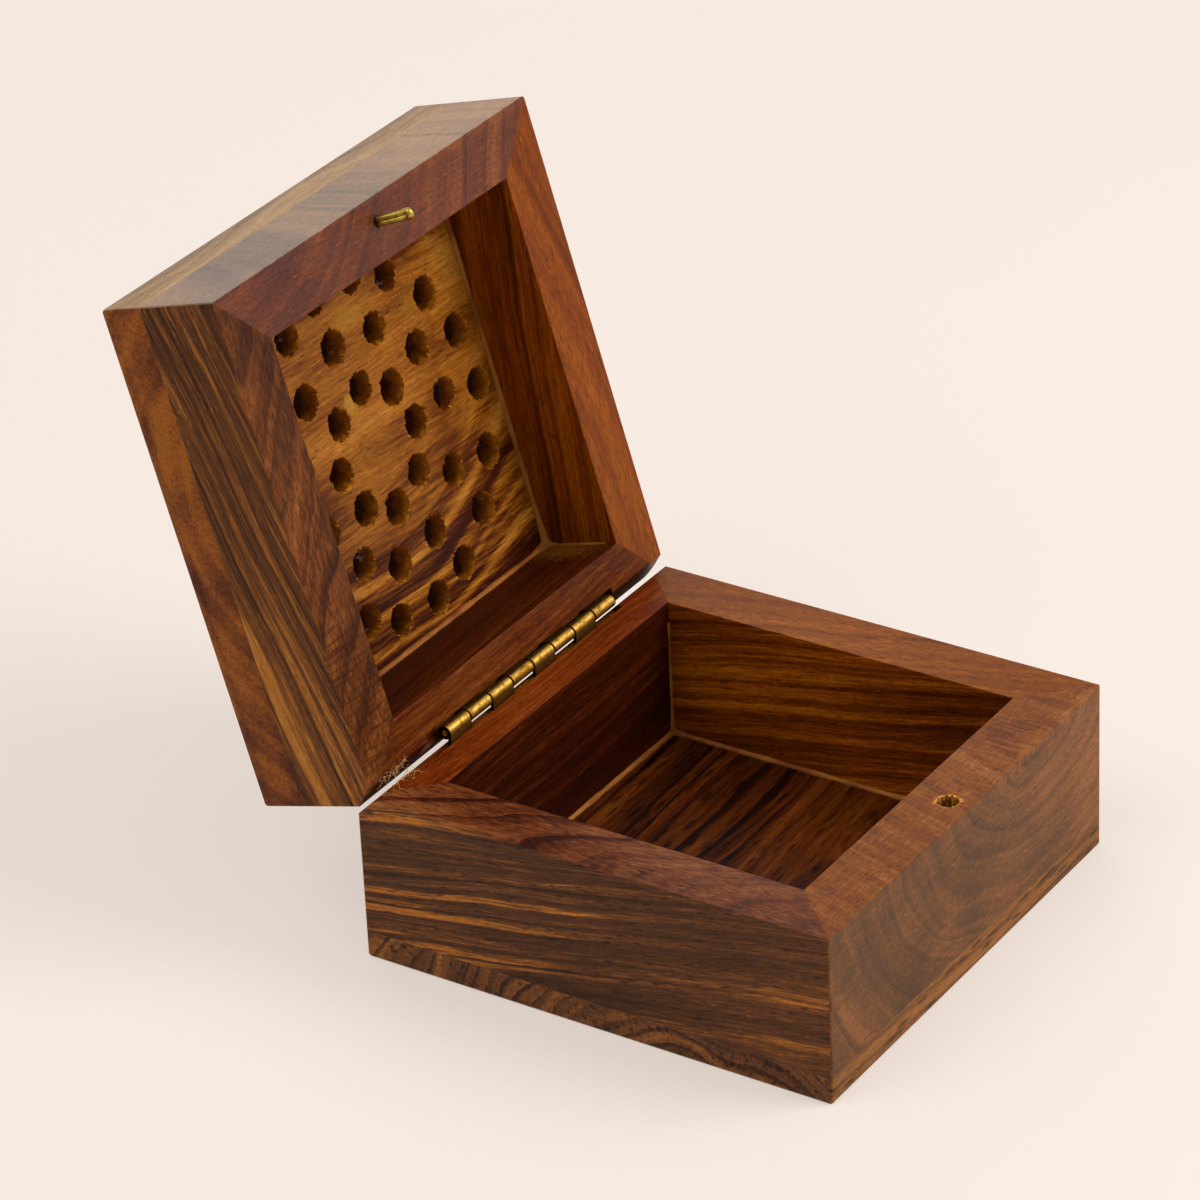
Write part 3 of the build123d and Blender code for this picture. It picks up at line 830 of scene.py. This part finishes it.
# CATCH
# A piece of brass wire bent double and driven into the lid's front rim, so that it springs into the hole
# below. Its two legs lie side by side, and the fold is hammered a little flat and dulls to green brown.
wire_radius = 0.62
leg_shift = Vector((0, 0.48, 0))
wire_buried = Vector((-0.9, -46.0, 44.0))
wire_root = Vector((-0.9, -46.0, 35.5))
wire_tip = Vector((0.9, -46.4, 28.25))
wire = bpy.data.curves.new("catch_wire", "CURVE")
wire.dimensions = "3D"
wire.bevel_depth = wire_radius
wire.bevel_resolution = 5
wire.resolution_u = 6
wire.use_fill_caps = True
leg_points = [
    (wire_buried, 1.0), (wire_root, 1.0), (wire_root.lerp(wire_tip, 0.3), 0.98),
    (wire_root.lerp(wire_tip, 0.62) + Vector((0.1, 0, 0)), 0.98),
    (wire_tip + Vector((-0.1, 0, 1.7)), 1.12), (wire_tip + Vector((0.05, 0, 0.8)), 1.22),
]
doubled = [(point + leg_shift, size) for point, size in leg_points]
doubled += [(point - leg_shift, size) for point, size in reversed(leg_points)]
bend = wire.splines.new("NURBS")
bend.points.add(len(doubled) - 1)
for point, (place, size) in zip(bend.points, doubled):
    point.co = (*place, 1)
    point.radius = size
bend.order_u = 3
bend.use_endpoint_u = True
holder = in_scene("catch_wire", wire)
wire_mesh = bpy.data.meshes.new_from_object(holder.evaluated_get(bpy.context.evaluated_depsgraph_get()))
bpy.data.objects.remove(holder)
tidy = bmesh.new()
tidy.from_mesh(wire_mesh)
bmesh.ops.remove_doubles(tidy, verts=tidy.verts, dist=0.001)
tidy.to_mesh(wire_mesh)
tidy.free()
open_up(wire_mesh)
wire_mesh.shade_smooth()
wire_mesh.materials.clear()
wire_mesh.materials.append(brass("bent_brass_wire", "86702a", "ceac50", 3.0, 0.25))
doubled_wire = in_scene("doubled_catch_wire", wire_mesh)
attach(doubled_wire, "lid")
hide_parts("catch_pin")

# TORN GRAIN
# Where a blunt drill or saw left the wood, its edge is ragged: pale splinters line the mouth of the catch
# hole, and loose fibres fray from both back rails at the near corner by the hinge. Each tuft lies flat on
# its own side of the joint, so that the two don't meet when the box shuts.
hole_middle = Vector((0.3, -46.2, 35.4))
hole_radius = 2.3
torn_depth = 3.6
far_side = math.radians(30)
shade_low_z = 32.2
shade_high_z = 34.6
fray_y = 46.5
fray_rise = 0.01
fibre_tip = 0.02


def torn_lining():
    """A thin ragged sleeve inside the mouth of the catch hole, its splinters running down the wall."""
    around, down = 72, 10
    sheet = bmesh.new()
    rings = []
    for outer in (False, True):
        levels = range(down, -1, -1) if outer else range(down + 1)
        for level in levels:
            share = level / down
            ring = []
            for step in range(around):
                angle = 2 * math.pi * step / around
                splinter = noise.noise(Vector((3.1 * math.cos(angle), 3.1 * math.sin(angle), share * 1.5)))
                splinter += 0.6 * noise.noise(Vector((8 * math.cos(angle), 8 * math.sin(angle), 4 + share)))
                far = 0.5 + 0.5 * math.cos(angle - far_side)
                thick = 0.02 + (0.15 + 0.45 * far) * (1 - share) * max(0.0, min(1.0, 0.45 + 1.5 * splinter))
                radius = hole_radius - (0.01 if outer else 0.02 + thick)
                lip = 0.02 if level else 0.03 + 0.02 * splinter
                ring.append(sheet.verts.new((
                    hole_middle.x + radius * math.cos(angle), hole_middle.y + radius * math.sin(angle),
                    hole_middle.z + lip - torn_depth * share,
                )))
            rings.append(ring)
    rings.append(rings[0])
    for upper, lower in zip(rings, rings[1:]):
        for step in range(around):
            after = (step + 1) % around
            sheet.faces.new((upper[step], lower[step], lower[after], upper[after]))
    bmesh.ops.recalc_face_normals(sheet, faces=sheet.faces)
    mesh = bpy.data.meshes.new("torn_lining")
    sheet.to_mesh(mesh)
    sheet.free()
    mesh.transform(Matrix.Scale(mm, 4))
    return mesh


def torn_wood(name, dark, pale):
    """Bare wood that tore instead of being cut: pale, dry and dull, and darkened further down the hole as
    painted shade.
    """
    material, tree = blank(name)
    place = place_in_mm(tree)
    strands = add(tree, "VectorMath", {0: place, 1: (0.35, 0.35, 2.5)}, operation="DIVIDE")
    strands = add(tree, "TexNoise", {"Vector": strands, "Scale": 1.0, "Detail": 2.0})
    colour = add(tree, "ValToRGB", {"Fac": strands}, stops=((0.4, dark), (0.58, pale)))
    # Darkened further down the hole, a painted shade
    high = add(tree, "SeparateXYZ", {"Vector": place}).outputs["Z"]
    high = add(tree, "MapRange", {
        "Value": high, "From Min": shade_low_z, "From Max": shade_high_z, "To Min": 0.1,
    })
    colour = add(tree, "VectorMath", {0: colour, "Scale": high}, operation="SCALE")
    return finished(material, {"Base Color": colour, "Roughness": 0.75, "Specular IOR Level": 0.1})


def frayed_tree():
    """A tree that roots a loose fibre at each of many points along an edge, curled but kept between the
    lowest and the highest height."""
    tree, given = named_tree("frayed_fibres", {
        "Edge": "Geometry", "Length": 2.9, "Thickness": 0.034, "Spread": 1.0, "Curl": 3.8, "Lowest": -100.0,
        "Highest": 100.0, "Count": 38, "Seed": 3, "Turn From": (-0.5, -2.1, -0.6),
        "Turn To": (0.5, 2.1, 0.9), "Finish": "Material",
    })
    edge = add(tree, "GeometryNodeMeshToCurve", {"Mesh": given["Edge"]})
    roots = add(tree, "GeometryNodeResampleCurve", {"Curve": edge, "Count": given["Count"]})
    jitter = add(
        tree, "FunctionNodeRandomValue", {0: (-1, -0.15, -0.15), 1: (1, 0.7, 0.1), "Seed": given["Seed"]},
        data_type="FLOAT_VECTOR",
    )
    jitter = add(tree, "VectorMath", {0: jitter, "Scale": given["Spread"]}, operation="SCALE")
    roots = add(tree, "GeometryNodeSetPosition", {"Geometry": roots, "Offset": jitter})
    tip = add(tree, "CombineXYZ", {"Z": given["Length"]})
    fibre = add(tree, "GeometryNodeCurvePrimitiveLine", {"End": tip})
    fibre = add(tree, "GeometryNodeResampleCurve", {"Curve": fibre, "Count": 8})
    turn = add(
        tree, "FunctionNodeRandomValue",
        {0: given["Turn From"], 1: given["Turn To"], "Seed": given["Seed"]}, data_type="FLOAT_VECTOR",
    )
    size = add(tree, "FunctionNodeRandomValue", {2: 0.35, 3: 1.2, "Seed": given["Seed"]})
    fibres = add(
        tree, "GeometryNodeInstanceOnPoints",
        {"Points": roots, "Instance": fibre, "Rotation": turn, "Scale": size},
    )
    fibres = add(tree, "GeometryNodeRealizeInstances", {"Geometry": fibres})
    place = add(tree, "GeometryNodeInputPosition", {})
    share = add(tree, "GeometryNodeSplineParameter", {}).outputs["Factor"]
    curl = wandering(tree, {"Vector": place, "Scale": 0.55, "Detail": 1.0})
    reach = add(tree, "Math", {0: share, 1: given["Curl"]}, operation="MULTIPLY")
    curl = add(tree, "VectorMath", {0: curl, "Scale": reach}, operation="SCALE")
    fibres = add(tree, "GeometryNodeSetPosition", {"Geometry": fibres, "Offset": curl})
    place = add(tree, "SeparateXYZ", {"Vector": add(tree, "GeometryNodeInputPosition", {})}).outputs
    flat = add(tree, "Clamp", {"Value": place["Z"], "Min": given["Lowest"], "Max": given["Highest"]})
    flat = add(tree, "CombineXYZ", {"X": place["X"], "Y": place["Y"], "Z": flat})
    fibres = add(tree, "GeometryNodeSetPosition", {"Geometry": fibres, "Position": flat})
    taper = add(tree, "MapRange", {"Value": share, "To Min": given["Thickness"], "To Max": fibre_tip})
    return ended(tree, tube(tree, fibres, taper, 4), given["Finish"])


def edge_line(start_x, end_x, z):
    """A stretch of a back rail's edge, as one loose edge."""
    mesh = bpy.data.meshes.new("torn_edge")
    mesh.from_pydata([(start_x, fray_y, z), (end_x, fray_y, z)], [(0, 1)], [])
    return mesh


lining = in_scene("torn_catch_hole_edge", torn_lining())
lining.data.materials.append(torn_wood("torn_bare_sheesham", "6e3206", "dc9a40"))
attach(lining, "base")
fray = frayed_tree()
fibre_finish = torn_wood("dry_sheesham_fibres", "a8621c", "f0bc70")
base_fray = grown("frayed_base_edge", edge_line(-44, -38, tray_rim_z), fray, {
    "Finish": fibre_finish, "Seed": 5, "Highest": tray_rim_z + fray_rise,
    "Turn From": (-0.4, -1.7, -0.6), "Turn To": (1.1, 1.7, 0.9),
})
base_fray.data.transform(Matrix.Scale(mm, 4))
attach(base_fray, "base")
lid_fray = grown("frayed_lid_edge", edge_line(-46, -39, lid_rim_z), fray, {
    "Finish": fibre_finish, "Seed": 8, "Lowest": lid_rim_z - fray_rise,
    "Turn From": (-1.1, 1.5, -0.6), "Turn To": (0.4, 4.8, 0.9),
})
open_up(lid_fray.data)
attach(lid_fray, "lid")

# SETTING
# A plain pale floor, three broad soft lamps and a pale sky, seen from where the photograph was taken. The
# floor is matt, and partly its own pale colour to the camera and in the gloss of the wood, so that its
# shadow is faint.
floor_reach = 4.0
floor_drop = 0.05
pale_share = 0.55
lamp_aim = Vector((0, 0, 0.05))
floor_corners = [(x * floor_reach, y * floor_reach, 0) for x, y in ((-1, -1), (1, -1), (1, 1), (-1, 1))]
floor_mesh = bpy.data.meshes.new("floor")
floor_mesh.from_pydata(floor_corners, [], [(0, 1, 2, 3)])
floor = in_scene("floor", floor_mesh)
floor.location.z = -floor_drop * mm
floor_material, tree = blank("pale_matt_floor")
matt = add(tree, "BsdfPrincipled", {"Base Color": linear("ede1d5"), "Roughness": 0.8})
pale = add(tree, "Emission", {"Color": linear("f5e8de"), "Strength": 1.0})
seen = add(tree, "LightPath", {}).outputs
mirrored = add(
    tree, "Math", {0: seen["Is Glossy Ray"], 1: seen["Is Transmission Ray"]}, operation="MAXIMUM"
)
share = add(tree, "Math", {0: seen["Is Camera Ray"], 1: mirrored}, operation="MAXIMUM")
share = add(tree, "Math", {0: share, 1: pale_share}, operation="MULTIPLY")
mixed = add(tree, "MixShader", {0: share, 1: matt, 2: pale})
add(tree, "OutputMaterial", {"Surface": mixed})
floor_mesh.materials.append(floor_material)


def lamp(name, place, size, power):
    """A round soft lamp that shines on the box."""
    data = bpy.data.lights.new(name, "AREA")
    data.shape = "DISK"
    data.size = size
    data.energy = power
    made = in_scene(name, data)
    made.location = place
    made.rotation_mode = "QUATERNION"
    made.rotation_quaternion = (lamp_aim - Vector(place)).to_track_quat("-Z", "Y")


lamp("soft_window", (0.5, -1.0, 1.0), 1.0, 16)
lamp("soft_fill", (-0.8, 0.3, 1.2), 1.0, 7)
lamp("soft_back", (0.9, 1.0, 0.6), 1.2, 3)
world = bpy.data.worlds.new("pale_room")
bpy.context.scene.world = world
world.use_nodes = True
sky = world.node_tree.nodes["Background"].inputs
sky["Color"].default_value = linear("f4f6fa")
sky["Strength"].default_value = 0.55
bpy.context.scene.view_settings.view_transform = "Standard"

camera_place = Vector((-0.7548, -0.4805, 0.5694))
camera_look = Vector((0.7228, 0.4874, -0.4899))
camera_roll = math.radians(-2.71)
camera_data = bpy.data.cameras.new("camera")
camera_data.sensor_width = 36
camera_data.lens = 166.64
camera = in_scene("camera", camera_data)
camera.location = camera_place
camera.rotation_mode = "QUATERNION"
camera.rotation_quaternion = camera_look.to_track_quat("-Z", "Y") @ Quaternion((0, 0, 1), camera_roll)
bpy.context.scene.camera = camera
